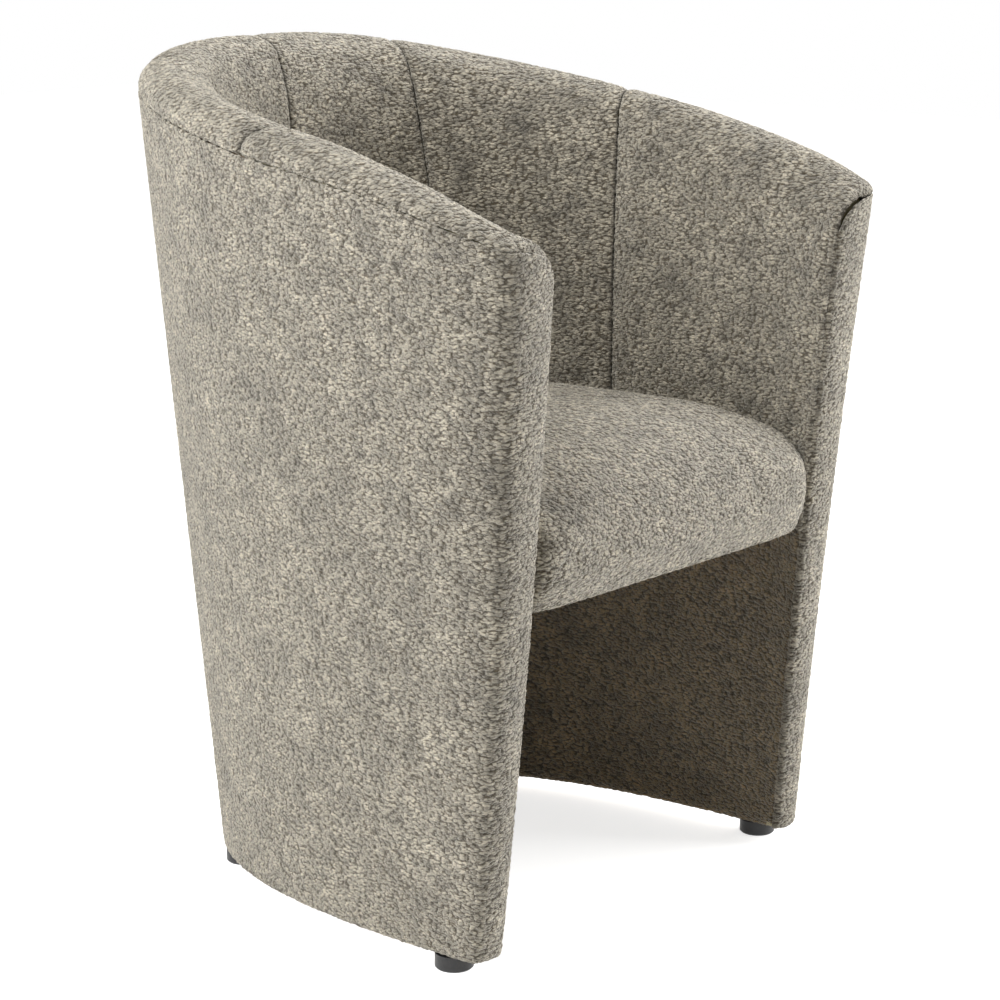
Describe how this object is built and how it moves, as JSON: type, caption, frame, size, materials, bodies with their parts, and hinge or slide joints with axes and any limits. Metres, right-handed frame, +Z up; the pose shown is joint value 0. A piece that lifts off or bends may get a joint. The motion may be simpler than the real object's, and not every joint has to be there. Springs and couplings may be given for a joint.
{
  "type": "club chair",
  "caption": "Compact barrel-shaped club chair: a padded curved shell with sloping arms round a thick domed seat, open at the front, on low round feet.",
  "frame": {"origin": "on the floor, under the middle of the chair's overall box", "axes": "+Z up, the open front of the chair towards -Y, the sitter's left towards +X"},
  "size_m": [0.5722, 0.5688, 0.7693],
  "materials": {
    "cover_fabric": "taupe looped boucle, matte with a soft sheen",
    "lining_fabric": "the same taupe fabric, laid flat",
    "foam": "open-cell upholstery foam",
    "hardboard": "smooth brown hardboard",
    "plywood": "raw birch plywood",
    "timber": "raw sawn timber",
    "webbing": "woven elastic strap",
    "dust_cloth": "thin black felt",
    "foot_plastic": "black, moulded",
    "steel": "zinc-plated"
  },
  "bodies": {
    "root": {"outer_cover": "cover_fabric", "back_panel_left": "cover_fabric", "back_panel_right": "cover_fabric", "wing_panel_left": "cover_fabric", "wing_panel_right": "cover_fabric", "arm_panel_left": "cover_fabric", "arm_panel_right": "cover_fabric", "lower_lining": "lining_fabric", "back_foam_left": "foam", "back_foam_right": "foam", "wing_foam_left": "foam", "wing_foam_right": "foam", "arm_foam_left": "foam", "arm_foam_right": "foam", "rim_foam": "foam", "lower_foam": "foam", "front_pad_left": "foam", "front_pad_right": "foam", "outer_board": "hardboard", "inner_board": "hardboard", "tack_strip": "hardboard", "base_ring": "plywood", "top_rim": "plywood", "front_post_left": "timber", "front_post_right": "timber", "side_post_left": "timber", "side_post_right": "timber", "back_post_left": "timber", "back_post_right": "timber", "seat_cover": "cover_fabric", "seat_foam": "foam", "seat_front_rail": "plywood", "seat_back_rail": "plywood", "seat_side_rail_left": "plywood", "seat_side_rail_right": "plywood", "webbing_long": "webbing", "webbing_cross": "webbing", "dust_cover": "dust_cloth", "seat_cleat_left": "timber", "seat_cleat_right": "timber", "seat_cleat_back": "timber", "seat_screws": "steel", "foot_front_left": "foot_plastic", "foot_front_right": "foot_plastic", "foot_back_left": "foot_plastic", "foot_back_right": "foot_plastic", "foot_screws": "steel"}
  },
  "joints": []
}
